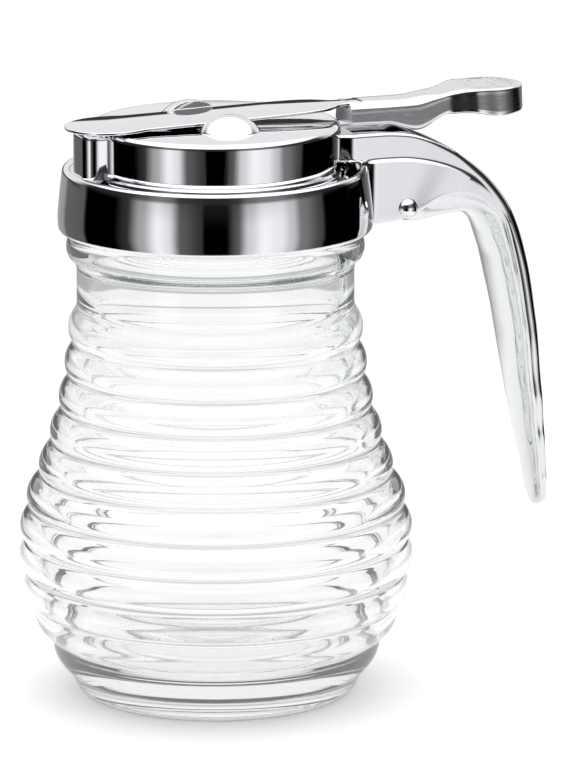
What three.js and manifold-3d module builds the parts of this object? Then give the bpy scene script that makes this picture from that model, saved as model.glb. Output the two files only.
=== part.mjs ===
// Glass syrup dispenser with a sliding pour cover, a thumb lever and a bracket handle.
// Millimetres, +Z up. The origin is the middle of the jar's base on the table.
// The jar's axis is Z, the handle points along +X and the pour spout along -X.
import * as THREE from 'three';
import { mergeVertices } from 'three/addons/utils/BufferGeometryUtils.js';
import Module from 'manifold-3d';

const wasm = await Module();
wasm.setup();

// Jar
const RING_R = [39.1, 43.7, 46.8, 48.0, 47.7, 45.9, 42.7, 40.0, 37.9, 36.5, 35.6];
const RING_Z = 9.0;
const RING_PITCH = 8.15;
const GROOVE_DEPTH = 1.7;
const RING_STEPS = 4;
const BASE_R = 33.6;
const NECK_R = 33.5;
const NECK_Z = 97.5;
const BEAD_R = 35.9;
const FINISH_R = 32.4;
const RIM_Z = 126.0;
const MOUTH_R = 29.4;
const FLOOR_Z = 7.0;
const WALL = 3.6;
const JAR_SIDES = 36;

// Lid
const LID_SIDES = 48;
const COLLAR_TOP_R = 37.0;
const COLLAR_LOW_R = 38.0;
const COLLAR_LOW_Z = 114.1;
const COLLAR_TOP_Z = 129.4;
const TOP_R = 30.2;
const TOP_Z = 140.0;
const TOP_LOW_Z = 126.5;
const SHEET = 1.4;
const GAP = 0.3;
const SPOUT_END = 35.1;
const SPOUT_HALF = 5.8;
const SPOUT_LOW_Z = 129.1;

// Guide buttons either side of the cover
const BUTTON_R = 7.5;
const BUTTON_H = 3.7;
const BUTTON_X = -1.4;
const BUTTON_Y = 11.0;
const BUTTON_FLAT_Y = 9.6;
const STEM_R = 1.8;

// Sliding cover
const PLATE_T = 0.7;
const PLATE_TILT = 1.45 * Math.PI / 180;
const PLATE_NOSE_X = -37.7;
const PLATE_NOSE_Z = 140.32;
const NOSE_R = 10.7;
const PLATE_HALF = 9.1;
const TONGUE_HALF = 2.8;
const TONGUE_END_X = 37.0;

// Thumb lever
const LEVER_X0 = 33.4;
const LEVER_X1 = 79.4;
const PAD_X = 69.8;
const PAD_HALF = 9.7;

// Handle
const CHEEK_HALF = 12.0;
const CROWN_HALF = 11.1;
const CHEEK_T = 1.7;
const ROOM_END_X = 59.0;
const HANDLE_STATIONS = 42;
const PIN_X = 45.3;
const PIN_Z = 117.7;
const PIN_R = 1.5;
const PIN_HEAD_R = 2.45;

const CHROME = { color: 0xc9ccd0, metalness: 1.0, roughness: 0.12 };
const CAST = { color: 0x8f9296, metalness: 1.0, roughness: 0.3 };
const GLASS = { color: 0xf2f6f6, metalness: 0.0, roughness: 0.05, transparent: true, opacity: 0.35 };

// Turn a three.js geometry into a solid that can be joined and cut.
function toSolid(geometry) {
  const g = geometry.clone();
  g.deleteAttribute('normal');
  g.deleteAttribute('uv');
  const m = mergeVertices(g, 1e-4);
  const mesh = new wasm.Mesh({
    numProp: 3,
    vertProperties: new Float32Array(m.attributes.position.array),
    triVerts: new Uint32Array(m.index.array),
  });
  return new wasm.Manifold(mesh);
}

// Turn a solid back into a geometry with its own normals.
function toGeometry(solid) {
  const mesh = solid.getMesh();
  const g = new THREE.BufferGeometry();
  g.setAttribute('position', new THREE.BufferAttribute(new Float32Array(mesh.vertProperties), 3));
  g.setIndex(new THREE.BufferAttribute(new Uint32Array(mesh.triVerts), 1));
  g.computeVertexNormals();
  return g;
}

// A closed ring or a solid of revolution about Z from (radius, height) pairs.
function lathe(points, sides) {
  const g = new THREE.LatheGeometry(points.map(([r, z]) => new THREE.Vector2(r, z)), sides);
  g.rotateX(Math.PI / 2);
  return g;
}

// A flat outline in (x, z) pushed out to both sides of the handle's middle plane.
function sidePlate(points, half) {
  const shape = new THREE.Shape(points.map(([x, z]) => new THREE.Vector2(x, z)));
  const g = new THREE.ExtrudeGeometry(shape, { depth: 2 * half, bevelEnabled: false });
  g.rotateX(Math.PI / 2);
  g.translate(0, half, 0);
  return g;
}

// A flat outline in (y, z) pushed along X.
function endPlate(points, x0, x1) {
  const shape = new THREE.Shape(points.map(([y, z]) => new THREE.Vector2(y, z)));
  const g = new THREE.ExtrudeGeometry(shape, { depth: x1 - x0, bevelEnabled: false });
  const turn = new THREE.Matrix4().makeBasis(
    new THREE.Vector3(0, 1, 0),
    new THREE.Vector3(0, 0, 1),
    new THREE.Vector3(1, 0, 0),
  );
  g.applyMatrix4(turn);
  g.translate(x0, 0, 0);
  return g;
}

// A plan outline in (x, y) pushed up from z0 to z1.
function planPlate(shape, z0, z1, curveSegments = 6) {
  const g = new THREE.ExtrudeGeometry(shape, { depth: z1 - z0, bevelEnabled: false, curveSegments });
  g.translate(0, 0, z0);
  return g;
}

// A smooth curve through a few guide points, sampled evenly.
function smooth(points, n) {
  const curve = new THREE.SplineCurve(points.map(([x, z]) => new THREE.Vector2(x, z)));
  return curve.getPoints(n).map((p) => [p.x, p.y]);
}

// Height along a smooth curve given as (position, value) pairs.
function blend(keys, x) {
  const last = keys.length - 1;
  if (x <= keys[0][0]) {
    return keys[0][1];
  }
  for (let i = 0; i < last; i += 1) {
    const [x0, v0] = keys[i];
    const [x1, v1] = keys[i + 1];
    if (x <= x1) {
      const t = (x - x0) / (x1 - x0);
      return v0 + (v1 - v0) * t * t * (3 - 2 * t);
    }
  }
  return keys[last][1];
}

// Radius of the jar between the crests, before the rings are pressed in.
function bodyRadius(z) {
  const f = (z - RING_Z) / RING_PITCH;
  const i = Math.max(0, Math.min(RING_R.length - 2, Math.floor(f)));
  return RING_R[i] + (RING_R[i + 1] - RING_R[i]) * (f - i);
}

// Clear glass jar: rounded rings stacked from the base to the neck, open at the top.
function makeJar() {
  const outside = [[0, 0], [BASE_R - 1.4, 0], [BASE_R, 0.9]];
  RING_R.forEach((crest, i) => {
    const mid = RING_Z + i * RING_PITCH;
    const low = mid - RING_PITCH / 2;
    const high = mid + RING_PITCH / 2;
    const rLow = i === 0 ? 35.6 : bodyRadius(low) - GROOVE_DEPTH;
    const rHigh = i === RING_R.length - 1 ? NECK_R + 0.4 : bodyRadius(high) - GROOVE_DEPTH;
    const bulge = crest - (rLow + rHigh) / 2;
    for (let k = 0; k < RING_STEPS; k += 1) {
      const t = k / RING_STEPS;
      const s = 2 * t - 1;
      outside.push([rLow + (rHigh - rLow) * t + bulge * (1 - s * s), low + (high - low) * t]);
    }
  });
  outside.push([NECK_R + 0.4, RING_Z + (RING_R.length - 0.5) * RING_PITCH]);
  outside.push([NECK_R, NECK_Z], [NECK_R, 106.4], [BEAD_R - 0.3, 107.7], [BEAD_R, 109.2]);
  outside.push([BEAD_R, 111.6], [BEAD_R - 1.2, 112.9], [FINISH_R, 113.2], [FINISH_R, RIM_Z - 0.8]);
  outside.push([FINISH_R - 0.8, RIM_Z], [MOUTH_R + 0.6, RIM_Z], [MOUTH_R, RIM_Z - 0.8], [MOUTH_R, 113]);
  const inside = [];
  for (let k = 0; k <= 13; k += 1) {
    const z = 96 - (96 - 13.0) * (k / 13);
    inside.push([Math.min(bodyRadius(z), NECK_R + 9 + (z > 90 ? -6 : 20)) - WALL - 0.6, z]);
  }
  outside.push([29.9, 106]);
  inside.push([30.5, FLOOR_Z + 1.6], [26.5, FLOOR_Z], [0, FLOOR_Z]);
  return lathe([...outside, ...inside], JAR_SIDES);
}

// Screw collar with a rolled top lip and a shallow groove inside the lip.
function makeCollar() {
  const inner = FINISH_R + 0.6;
  const root = TOP_R + 1.5;
  const points = [
    [inner + 0.5, COLLAR_LOW_Z],
    [COLLAR_LOW_R - 1.1, COLLAR_LOW_Z],
    [COLLAR_LOW_R - 0.3, COLLAR_LOW_Z + 0.4],
    [COLLAR_LOW_R, COLLAR_LOW_Z + 1.4],
    [COLLAR_TOP_R + 0.15, COLLAR_TOP_Z - 1.9],
    [COLLAR_TOP_R - 0.1, COLLAR_TOP_Z - 0.8],
    [COLLAR_TOP_R - 0.6, COLLAR_TOP_Z - 0.1],
    [COLLAR_TOP_R - 1.1, COLLAR_TOP_Z],
    [COLLAR_TOP_R - 1.6, COLLAR_TOP_Z - 0.5],
    [COLLAR_TOP_R - 1.9, COLLAR_TOP_Z - 1.0],
    [root + 0.3, COLLAR_TOP_Z - 1.1],
    [root, COLLAR_TOP_Z - 1.4],
    [root, RIM_Z + 0.7],
    [inner, RIM_Z + 0.7],
    [inner, COLLAR_LOW_Z + 0.6],
  ];
  return lathe([...points, points[0]], LID_SIDES);
}

// Rounded outline of the pour spout seen from above.
function spoutOutline(grow, back) {
  const end = SPOUT_END + grow;
  const half = SPOUT_HALF + grow;
  const c = Math.min(2.4, half - 0.5);
  const shape = new THREE.Shape();
  shape.moveTo(back, -half);
  shape.lineTo(back, half);
  shape.lineTo(-end + c, half);
  shape.quadraticCurveTo(-end, half, -end, half - c);
  shape.lineTo(-end, -half + c);
  shape.quadraticCurveTo(-end, -half, -end + c, -half);
  shape.lineTo(back, -half);
  return shape;
}

// Round pour top: closed flat lid, upright wall and a spout with an open channel.
function makePourTop() {
  const skin = [
    [0, TOP_LOW_Z],
    [TOP_R + 0.9, TOP_LOW_Z],
    [TOP_R + 0.9, COLLAR_TOP_Z - 0.9],
    [TOP_R + 0.3, COLLAR_TOP_Z - 0.3],
    [TOP_R, COLLAR_TOP_Z + 0.5],
    [TOP_R, TOP_Z - 1.6],
    [TOP_R - 0.25, TOP_Z - 0.8],
    [TOP_R - 0.9, TOP_Z - 0.2],
    [TOP_R - 2.0, TOP_Z],
    [0, TOP_Z],
  ];
  const room = [
    [0, TOP_LOW_Z - 1],
    [TOP_R - SHEET, TOP_LOW_Z - 1],
    [TOP_R - SHEET, TOP_Z - SHEET - 1],
    [TOP_R - SHEET - 1, TOP_Z - SHEET],
    [0, TOP_Z - SHEET],
  ];
  let solid = toSolid(lathe(skin, LID_SIDES));
  solid = solid.add(toSolid(planPlate(spoutOutline(0, -20), SPOUT_LOW_Z, TOP_Z - 0.5)));
  solid = solid.subtract(toSolid(lathe(room, LID_SIDES)));
  solid = solid.subtract(toSolid(planPlate(spoutOutline(-SHEET, -24.5), SPOUT_LOW_Z + SHEET, TOP_Z + 1)));
  for (const side of [-1, 1]) {
    const hole = new THREE.CylinderGeometry(STEM_R + GAP, STEM_R + GAP, 4, 16);
    hole.rotateX(Math.PI / 2);
    hole.translate(BUTTON_X, side * (BUTTON_Y + 1), TOP_Z);
    solid = solid.subtract(toSolid(hole));
  }
  return toGeometry(solid);
}

// Domed guide button with a flat side that the cover runs along, on a short stem.
function makeButton(side) {
  const ball = (BUTTON_R * BUTTON_R + BUTTON_H * BUTTON_H) / (2 * BUTTON_H);
  const edge = Math.asin(BUTTON_R / ball);
  const base = TOP_Z + GAP;
  const points = [[0, base - SHEET], [STEM_R, base - SHEET], [STEM_R, base], [BUTTON_R, base]];
  for (let k = 1; k <= 7; k += 1) {
    const a = edge * (1 - k / 7);
    points.push([ball * Math.sin(a), base + BUTTON_H - ball * (1 - Math.cos(a))]);
  }
  const dome = lathe(points, 28);
  const stemY = side * (BUTTON_Y + 1);
  dome.translate(BUTTON_X, side * BUTTON_Y, 0);
  const guide = new THREE.BoxGeometry(30, 10, 8);
  guide.translate(BUTTON_X, side * (BUTTON_FLAT_Y - 5), TOP_Z + GAP + 4);
  const head = toSolid(dome).subtract(toSolid(guide));
  const below = new THREE.BoxGeometry(30, 30, 8);
  below.translate(BUTTON_X, side * BUTTON_Y, base - 4);
  const stem = new THREE.CylinderGeometry(STEM_R, STEM_R, 2.0, 16);
  stem.rotateX(Math.PI / 2);
  stem.translate(BUTTON_X, stemY, base - 0.4);
  return toGeometry(head.subtract(toSolid(below)).add(toSolid(stem)));
}

// Teardrop plan of the sliding cover: round nose, straight sides and a tongue.
function plateOutline() {
  const noseX = PLATE_NOSE_X + NOSE_R;
  const shape = new THREE.Shape();
  const half = [];
  for (let k = 0; k <= 12; k += 1) {
    const a = Math.PI - (k / 12) * 1.66;
    half.push([noseX + NOSE_R * Math.cos(a), NOSE_R * Math.sin(a)]);
  }
  half.push([-23.0, NOSE_R - 0.5], [-20.2, PLATE_HALF + 0.25], [-16, PLATE_HALF + 0.1]);
  half.push([-10, PLATE_HALF], [0, 9.0], [8, 8.9], [14, 8.7], [19, 8.4], [22.5, 8.0], [25.2, 7.3]);
  half.push([27.3, 6.3], [28.9, 5.1], [30.1, 3.9], [31.2, 3.1], [32.6, TONGUE_HALF]);
  half.push([TONGUE_END_X, TONGUE_HALF]);
  shape.moveTo(half[0][0], 0);
  for (const [x, y] of half.slice(1)) {
    shape.lineTo(x, y);
  }
  for (const [x, y] of half.slice(1).reverse()) {
    shape.lineTo(x, -y);
  }
  return shape;
}

// Thin cover over the spout, tilted up a little towards the lever.
function makePlate() {
  const g = planPlate(plateOutline(), 0, PLATE_T);
  g.translate(-PLATE_NOSE_X, 0, 0);
  g.rotateY(-PLATE_TILT);
  g.translate(PLATE_NOSE_X, 0, PLATE_NOSE_Z);
  return g;
}

// Notch in the top of the lever's nose for the cover's tongue.
function tongueNotch() {
  const g = new THREE.BoxGeometry(10, 2 * TONGUE_HALF + 2 * GAP, 6);
  g.translate(TONGUE_END_X + GAP - 5 - PLATE_NOSE_X, 0, 3 - GAP);
  g.rotateY(-PLATE_TILT);
  g.translate(PLATE_NOSE_X, 0, PLATE_NOSE_Z);
  return toSolid(g);
}

// Half of the lever's section at x: (half width, height) from its top to its bottom.
function leverSection(x) {
  const topKeys = [[33, 143.3], [48, 143.2], [56, 143.8], [64, 145.1], [74, 145.1], [79.4, 144.8]];
  const edgeKeys = [[33, 140.6], [50, 140.9], [60, 142.9], [66, 144.0], [76, 144.0], [79.4, 143.6]];
  const lowKeys = [[33, 137.7], [42, 137.6], [50, 135.7], [59, 139.0], [63, 139.2], [71, 138.1], [77, 138.7]];
  lowKeys.push([79.4, 139.4]);
  const wideKeys = [[33, 5.5], [50, 6.3], [58, 6.2], [66, 9.0], [PAD_X + 1, PAD_HALF]];
  const round = Math.max(0, (x - PAD_X) / (LEVER_X1 - PAD_X));
  const shape = Math.sqrt(Math.max(0.01, 1 - Math.pow(round, 2.4)));
  const top = blend(topKeys, x);
  const edge = blend(edgeKeys, x);
  const low = blend(lowKeys, x);
  const wide = blend(wideKeys, x) * shape;
  const upper = Math.max(wide - 0.15 * (edge - low) * Math.min(1, shape * 1.5), wide * 0.6);
  const power = 2 / blend([[50, 2.4], [64, 5.0]], x);
  const half = [];
  for (let k = 0; k <= 6; k += 1) {
    const a = (Math.PI / 2) * (k / 6);
    half.push([upper * Math.pow(Math.sin(a), power), edge + (top - edge) * Math.pow(Math.max(0, Math.cos(a)), power)]);
  }
  half.push([wide, low + 0.45], [wide * 0.95, low], [0, low]);
  return half;
}

// Cast thumb lever: an arm over the handle that widens to a rounded thumb pad.
function makeLever() {
  const rings = [];
  for (let k = 0; k <= 30; k += 1) {
    const x = LEVER_X0 + (LEVER_X1 - LEVER_X0) * Math.pow(Math.sin((Math.PI / 2) * (k / 30)), 1.15);
    const half = leverSection(x);
    const other = half.slice(1, -1).reverse().map(([y, z]) => [-y, z]);
    rings.push([...half, ...other].map(([y, z]) => [x, y, z]));
  }
  return toGeometry(toSolid(skin(rings)).subtract(tongueNotch()));
}

// Skin over equal rings of points, with a flat fan over each end.
function skin(rings) {
  const count = rings[0].length;
  const points = rings.flat();
  const middle = (ring) => [0, 1, 2].map((k) => ring.reduce((sum, p) => sum + p[k], 0) / count);
  const first = points.push(middle(rings[0])) - 1;
  const last = points.push(middle(rings[rings.length - 1])) - 1;
  const index = [];
  for (let i = 0; i < rings.length - 1; i += 1) {
    for (let j = 0; j < count; j += 1) {
      const a = i * count + j;
      const b = i * count + ((j + 1) % count);
      index.push(a, a + count, b, b, a + count, b + count);
    }
  }
  const end = (rings.length - 1) * count;
  for (let j = 0; j < count; j += 1) {
    const next = (j + 1) % count;
    index.push(first, j, next, last, end + next, end + j);
  }
  const g = new THREE.BufferGeometry();
  g.setAttribute('position', new THREE.BufferAttribute(new Float32Array(points.flat()), 3));
  g.setIndex(index);
  return g;
}

// Distance from a crown point straight inwards to a lower curve.
function depthTo(curve, point, inward) {
  let best = Infinity;
  for (let i = 0; i < curve.length - 1; i += 1) {
    const dx = curve[i + 1][0] - curve[i][0];
    const dz = curve[i + 1][1] - curve[i][1];
    const ex = curve[i][0] - point[0];
    const ez = curve[i][1] - point[1];
    const den = inward[0] * dz - inward[1] * dx;
    const t = (ex * dz - ez * dx) / den;
    const s = (ex * inward[1] - ez * inward[0]) / den;
    if (Math.abs(den) > 1e-9 && t > 0.5 && s >= -0.001 && s <= 1.001) {
      best = Math.min(best, t);
    }
  }
  return best;
}

// Points at even distances along a smooth curve through guide points.
function evenly(points, count) {
  const curve = new THREE.SplineCurve(points.map(([x, z]) => new THREE.Vector2(x, z)));
  curve.arcLengthDivisions = 800;
  return curve.getSpacedPoints(count).map((p) => [p.x, p.y]);
}

// Crown, cheek edge and step line of the handle, seen from the side.
const CROWN = [
  [26, 136.9], [31, 136.9], [36, 136.9], [42, 136.7], [48.4, 135.6], [56.3, 132.2], [62.4, 128.0], [67.5, 123.2],
  [71.8, 117.4], [74.8, 111.2], [77.1, 104.2], [78.8, 95.4], [80.8, 82.0], [82.5, 68.0], [84.0, 56.0],
  [85.5, 46.0], [86.0, 40.4], [85.9, 37.6],
];
const CHEEK_EDGE = [
  [20, 114.2], [28, 114.2], [36.5, 114.5], [43.3, 115.0], [48.2, 116.3], [51.1, 118.0], [54.0, 119.6],
  [58.0, 120.4], [61.0, 120.1], [64.0, 118.9], [67.4, 116.4], [70.4, 113.6], [71.7, 110.8], [74.5, 100.0],
  [77.0, 87.0], [79.2, 72.0], [81.1, 60.0], [82.7, 50.0], [83.9, 40.6], [84.1, 36.0], [84.2, 30.0],
];
const STEP_LINE = [
  [20, 129.4], [28, 129.4], [41.3, 129.4], [46.3, 129.1], [51.2, 128.2], [56.2, 126.7], [61.2, 124.4],
  [66.0, 121.0], [69.8, 116.3], [71.6, 112.4], [71.9, 110.6], [74.6, 100.0], [84.1, 36.0], [84.2, 30.0],
];

// Half of the handle's section: (depth, half width) from the crown to the belly.
function handleSection(point, deep, stepDepth, ahead) {
  const [x, z] = point;
  const step = Math.min(stepDepth, deep - 0.75);
  const onGrip = z < 110 && x > 60;
  const gripKeys = [[37.6, 3.4], [40.5, 4.7], [46, 5.3], [58, 6.5], [69, 7.9], [87, 9.5], [101, 10.7], [110, 11.0]];
  let strip = onGrip ? blend(gripKeys, z) : blend([[31.1, CROWN_HALF], [50, 11.0], [60, 10.7], [72, 11.0]], x);
  let cheek = strip;
  if (!onGrip) {
    const proud = Math.max(0, Math.min(1, (deep - stepDepth) / 4));
    cheek = strip + proud * (blend([[36, CHEEK_HALF], [50, 11.9], [62, 11.3], [72, 11.0]], x) - strip);
    strip -= Math.max(0, 31.1 - x) * 0.42;
    cheek -= Math.max(0, 36.5 - x) * 0.42;
  }
  const bellyKeys = [[43, 0.2], [49, 3.4], [55, 7.6], [61, 7.9], [67, 6.2], [72, 4.2], [77, 2.9], [80.8, 2.3]];
  const belly = z > 60 ? blend(bellyKeys, x) : blend([[38, 0.9], [60, 1.9]], z);
  const finish = Math.max(0, (ahead - 0.972) / 0.028);
  const shrink = Math.sqrt(Math.max(0.01, 1 - finish * finish));
  const roundKeys = [[50, 0.9], [58, 1.2], [66, 2.6], [70, 3.0], [77, 3.0], [81, 2.2], [84, 1.2], [86, 0.8]];
  const tall = Math.min(blend(roundKeys, x), Math.max(0.5, Math.min(step, deep) - 0.5));
  const broad = Math.min(tall, strip * 0.4);
  const half = [[0, 0], [0.3, (strip - broad) * 0.6]];
  for (const a of [0, Math.PI / 4, Math.PI / 2]) {
    half.push([0.5 + tall * (1 - Math.cos(a)), strip - broad + broad * Math.sin(a)]);
  }
  const high = Math.max(0.5 + tall + 0.05, step - 1.3);
  const floor = Math.max(step, high + 0.05);
  half.push([high, strip], [high + (floor - high) * 0.6, strip + (cheek - strip) * 0.27], [floor, cheek]);
  half.push([deep, cheek - 0.05], [deep + 0.05, cheek - 0.8]);
  for (const a of [0.3, 0.6, 0.95, Math.PI / 2]) {
    half.push([deep + 0.05 + (belly - 0.05) * Math.sin(a), (cheek - 0.85) * Math.max(0, Math.cos(a))]);
  }
  const middle = deep / 2;
  return half.map(([q, y]) => [middle + (q - middle) * (0.45 + 0.55 * shrink), y * shrink]);
}

// Bracket handle: a curved crown with two cheeks at the lid, and a slim grip with a rounded inner face.
function makeHandle() {
  const crown = evenly(CROWN, HANDLE_STATIONS);
  const cheekLine = smooth(CHEEK_EDGE, 240);
  const stepLine = smooth(STEP_LINE, 160);
  const inward = crown.map((p, i) => {
    const a = crown[Math.max(0, i - 1)];
    const b = crown[Math.min(HANDLE_STATIONS, i + 1)];
    const long = Math.hypot(b[0] - a[0], b[1] - a[1]);
    return [(b[1] - a[1]) / long, -(b[0] - a[0]) / long];
  });
  const depths = [cheekLine, stepLine].map((line) => {
    let row = crown.map((p, i) => depthTo(line, p, inward[i]));
    row = row.map((d, i) => (Number.isFinite(d) ? d : row.slice(0, i).reverse().find(Number.isFinite)));
    return row.map((d, i) => (i === 0 || i === HANDLE_STATIONS ? d : (row[i - 1] + 2 * d + row[i + 1]) / 4));
  });
  const rings = crown.map((p, i) => {
    const half = handleSection(p, depths[0][i], depths[1][i], i / HANDLE_STATIONS);
    const whole = [...half, ...half.slice(1, -1).reverse().map(([q, y]) => [q, -y])];
    return whole.map(([q, y]) => [p[0] + inward[i][0] * q, y, p[1] + inward[i][1] * q]);
  });
  let solid = toSolid(skin(rings));
  const room = [[22, 105], [22, 134.6], [36, 134.6], [44, 134.0], [50, 132.4], [55, 129.8], [58, 126.5]];
  room.push([ROOM_END_X, 122], [ROOM_END_X, 105]);
  solid = solid.subtract(toSolid(sidePlate(room, CROWN_HALF - CHEEK_T)));
  const clear = [[0, 100], [COLLAR_LOW_R + GAP, 100], [COLLAR_LOW_R + GAP, 115.6]];
  clear.push([COLLAR_TOP_R + GAP + 0.2, 127.0], [COLLAR_TOP_R + GAP, COLLAR_TOP_Z + GAP]);
  clear.push([TOP_R + GAP + 0.4, COLLAR_TOP_Z + GAP], [TOP_R + GAP, COLLAR_TOP_Z + 1], [TOP_R + GAP, 150], [0, 150]);
  solid = solid.subtract(toSolid(lathe(clear, LID_SIDES)));
  const hole = new THREE.CylinderGeometry(PIN_R + GAP, PIN_R + GAP, 60, 16);
  hole.translate(PIN_X, 0, PIN_Z);
  return toGeometry(solid.subtract(toSolid(hole)));
}

// Cross pin through the cheeks with a domed head at each end.
function makePin() {
  const head = CHEEK_HALF + GAP;
  const tall = 1.3;
  const half = [[PIN_R, 0], [PIN_R, head], [PIN_HEAD_R, head], [PIN_HEAD_R * 0.86, head + tall * 0.5]];
  half.push([PIN_HEAD_R * 0.5, head + tall * 0.86], [0, head + tall]);
  const other = half.slice(1).map(([r, y]) => [r, -y]).reverse();
  const points = [...other, ...half].map(([r, y]) => new THREE.Vector2(r, y));
  const g = new THREE.LatheGeometry(points, 16);
  g.translate(PIN_X, 0, PIN_Z);
  return g;
}

// One named mesh with its own material.
function piece(name, geometry, look) {
  const mesh = new THREE.Mesh(geometry, new THREE.MeshStandardMaterial(look));
  mesh.name = name;
  return mesh;
}

const dispenser = new THREE.Group();
dispenser.name = 'syrup_dispenser';

const fixed = new THREE.Group();
fixed.name = 'fixed_parts';
fixed.add(piece('jar', makeJar(), GLASS));
fixed.add(piece('collar', makeCollar(), CHROME));
fixed.add(piece('pour_top', makePourTop(), CHROME));
fixed.add(piece('guide_button_front', makeButton(-1), CHROME));
fixed.add(piece('guide_button_back', makeButton(1), CHROME));
fixed.add(piece('handle', makeHandle(), CHROME));
fixed.add(piece('handle_pin', makePin(), CHROME));

const gate = new THREE.Group();
gate.name = 'sliding_parts';
gate.add(piece('slide_plate', makePlate(), CHROME));
gate.add(piece('thumb_lever', makeLever(), CAST));

dispenser.add(fixed);
dispenser.add(gate);

export default dispenser;
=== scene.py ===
# %% [markdown]
# A glass syrup dispenser, finished in Blender
#
# The solids of the dispenser were made in a CAD step, and this script loads them as a fixed frame.
# Every visible piece is then remade with finer curves, given its own material, and tied to the body
# that it moves with. Lengths are written in millimetres and turned into metres by MM.
#
# The jar's axis is Z, the handle points along +X and the pour spout along -X.

# %% Load the frame
import math

import bmesh
import bpy
from mathutils import Matrix, Vector


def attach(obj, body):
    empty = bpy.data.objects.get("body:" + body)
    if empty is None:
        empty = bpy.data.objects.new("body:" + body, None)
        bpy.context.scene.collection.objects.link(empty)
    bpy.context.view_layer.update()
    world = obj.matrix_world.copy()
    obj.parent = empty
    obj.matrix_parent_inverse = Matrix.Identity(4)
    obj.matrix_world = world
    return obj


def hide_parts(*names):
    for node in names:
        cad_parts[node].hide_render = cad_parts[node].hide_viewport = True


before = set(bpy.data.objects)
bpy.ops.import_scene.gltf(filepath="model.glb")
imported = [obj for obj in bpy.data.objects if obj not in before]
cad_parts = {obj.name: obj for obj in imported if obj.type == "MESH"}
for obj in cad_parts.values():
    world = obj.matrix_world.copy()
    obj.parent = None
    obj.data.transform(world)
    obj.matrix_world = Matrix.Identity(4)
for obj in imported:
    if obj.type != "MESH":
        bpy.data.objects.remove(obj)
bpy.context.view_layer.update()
MM = 0.001
print("nodes:", sorted(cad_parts))

# %% [markdown]
# The camera
#
# A product photo like this one is taken from far away with a long lens, so the jar's rings look nearly
# flat and the sides nearly parallel. The camera stands 1.55 m from the jar, 13 degrees above it and 21
# degrees round from the side, towards the spout. It looks a little past the jar, because the handle
# makes the object wider on the right.

# %% Camera
CAMERA_TURN = math.radians(-21.0)
CAMERA_RISE = math.radians(13.0)
CAMERA_FAR = 1550 * MM
AIM = Vector((0, 0, 75 * MM))
SENSOR = 36

# The next values are in pixels of the picture's frame: its height, the lens's focal length, and how far
# the middle of the frame lies to the right of and above the point aimed at.
FRAME_HIGH = 764
FOCAL = 6401.5
OFF_RIGHT, OFF_UP = 72.2, 4.0

back = Vector((
    math.sin(CAMERA_TURN) * math.cos(CAMERA_RISE),
    -math.cos(CAMERA_TURN) * math.cos(CAMERA_RISE),
    math.sin(CAMERA_RISE),
))
right = Vector((math.cos(CAMERA_TURN), math.sin(CAMERA_TURN), 0))
upward = right.cross(-back)
look = -back + right * (OFF_RIGHT / FOCAL) + upward * (OFF_UP / FOCAL)

bpy.ops.object.select_all(action="DESELECT")
bpy.ops.object.camera_add(location=AIM + back * CAMERA_FAR)
camera = bpy.context.object
camera.name = "photo_camera"
camera.rotation_mode = "QUATERNION"
camera.rotation_quaternion = look.to_track_quat("-Z", "Y")
camera.data.sensor_width = SENSOR
camera.data.lens = SENSOR * FOCAL / FRAME_HIGH
bpy.context.scene.camera = camera
print("camera at", [round(v, 3) for v in camera.location], "lens", round(camera.data.lens, 1))

# %% [markdown]
# Small helpers for the work in edit mode
#
# An operator acts on all that is selected, so each helper first clears the selection. A turned part,
# such as the jar or the collar, is made as a wood turner would see it: one outline is drawn on a plane
# that holds the axis, and spin carries it once round. A circle gives the closed chain of points, and
# its points are then set along the outline.

# %% Selection and cleaning helpers
DOUBLES = 0.002 * MM


def only(piece):
    """Select one object and make it active."""
    bpy.ops.object.select_all(action="DESELECT")
    piece.select_set(True)
    bpy.context.view_layer.objects.active = piece


def named(piece, name):
    """Give an object and its mesh the same name."""
    piece.name = name
    piece.data.name = name
    return piece


def clean(piece, merge=DOUBLES):
    """Merge doubles, drop loose bits and turn all faces outwards."""
    only(piece)
    bpy.ops.object.mode_set(mode="EDIT")
    bpy.ops.mesh.select_all(action="SELECT")
    bpy.ops.mesh.remove_doubles(threshold=merge)
    bpy.ops.mesh.delete_loose(use_verts=True, use_edges=True, use_faces=False)
    bpy.ops.mesh.select_all(action="SELECT")
    bpy.ops.mesh.normals_make_consistent(inside=False)
    bpy.ops.object.mode_set(mode="OBJECT")


# %% Finishing and measuring helpers
def smooth(piece, degrees=35):
    """Shade round surfaces smooth and keep real corners sharp."""
    only(piece)
    bpy.ops.object.shade_smooth_by_angle(angle=math.radians(degrees))


def open_edges(piece):
    """Count the edges that don't have exactly two faces."""
    uses = {}
    for poly in piece.data.polygons:
        for key in poly.edge_keys:
            uses[key] = uses.get(key, 0) + 1
    return sum(1 for n in uses.values() if n != 2)


def report(piece):
    """Print a piece's size in millimetres, its faces and whether its skin is closed."""
    size = [round(v / MM, 1) for v in piece.dimensions]
    faces = len(piece.data.polygons)
    print(piece.name, "is", size, "mm,", faces, "faces,", open_edges(piece), "open edges")


# %% Helper for turned parts
def turned(name, outline, steps=144, sharp=35):
    """Spin a closed outline of (radius, height) points, in mm, once about Z."""
    bpy.ops.object.select_all(action="DESELECT")
    bpy.ops.mesh.primitive_circle_add(vertices=len(outline), radius=0.01, fill_type="NOTHING")
    piece = named(bpy.context.object, name)
    for vert, (radius, height) in zip(piece.data.vertices, outline):
        vert.co = (radius * MM, 0, height * MM)
    bpy.ops.object.mode_set(mode="EDIT")
    bpy.ops.mesh.select_all(action="SELECT")
    bpy.ops.mesh.spin(steps=steps, angle=2 * math.pi, center=(0, 0, 0), axis=(0, 0, 1))
    bpy.ops.object.mode_set(mode="OBJECT")
    clean(piece)
    smooth(piece, sharp)
    return piece


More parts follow.
